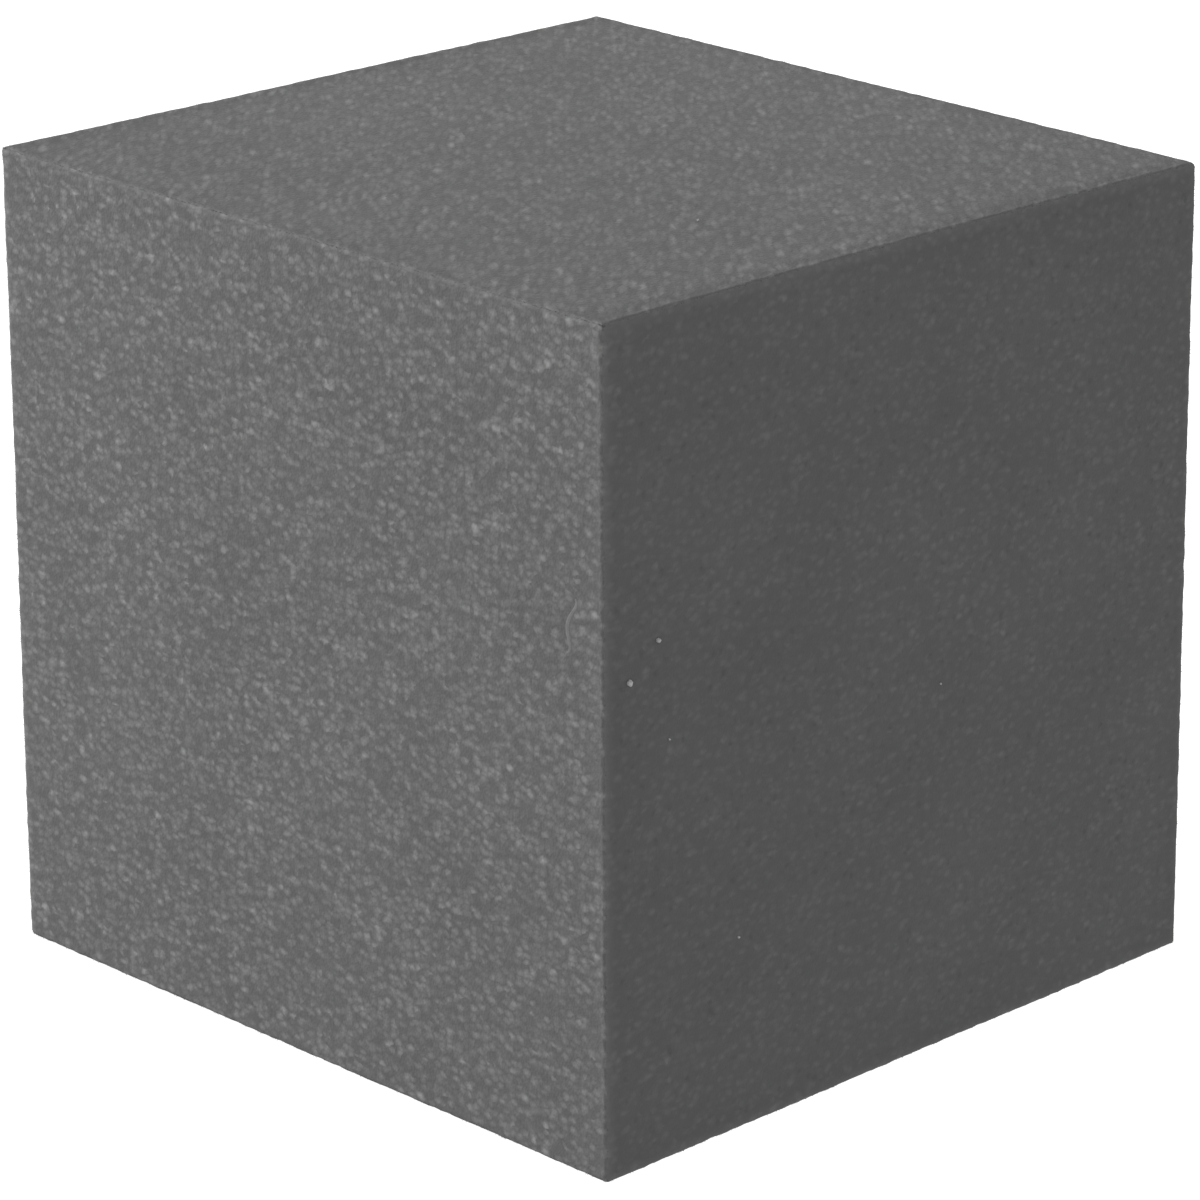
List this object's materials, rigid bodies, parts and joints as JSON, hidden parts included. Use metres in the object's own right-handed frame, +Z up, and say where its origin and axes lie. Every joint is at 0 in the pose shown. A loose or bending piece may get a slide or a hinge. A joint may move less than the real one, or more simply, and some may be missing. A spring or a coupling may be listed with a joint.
{
  "type": "foam block",
  "caption": "Solid cube of charcoal open-cell foam with flat knife-cut faces and almost sharp edges, to stand, stack, pin, glue or carve.",
  "frame": {"origin": "centre of the base, on the surface that the block stands on", "axes": "+Z up, +X and +Y square to the upright faces; the block is the same along both"},
  "size_m": [0.305, 0.305, 0.305],
  "materials": {
    "foam": "matt charcoal open-cell polyurethane foam with a fine sparkling grain, all faces knife-cut"
  },
  "bodies": {
    "root": {"foam_block": "foam"}
  },
  "joints": []
}
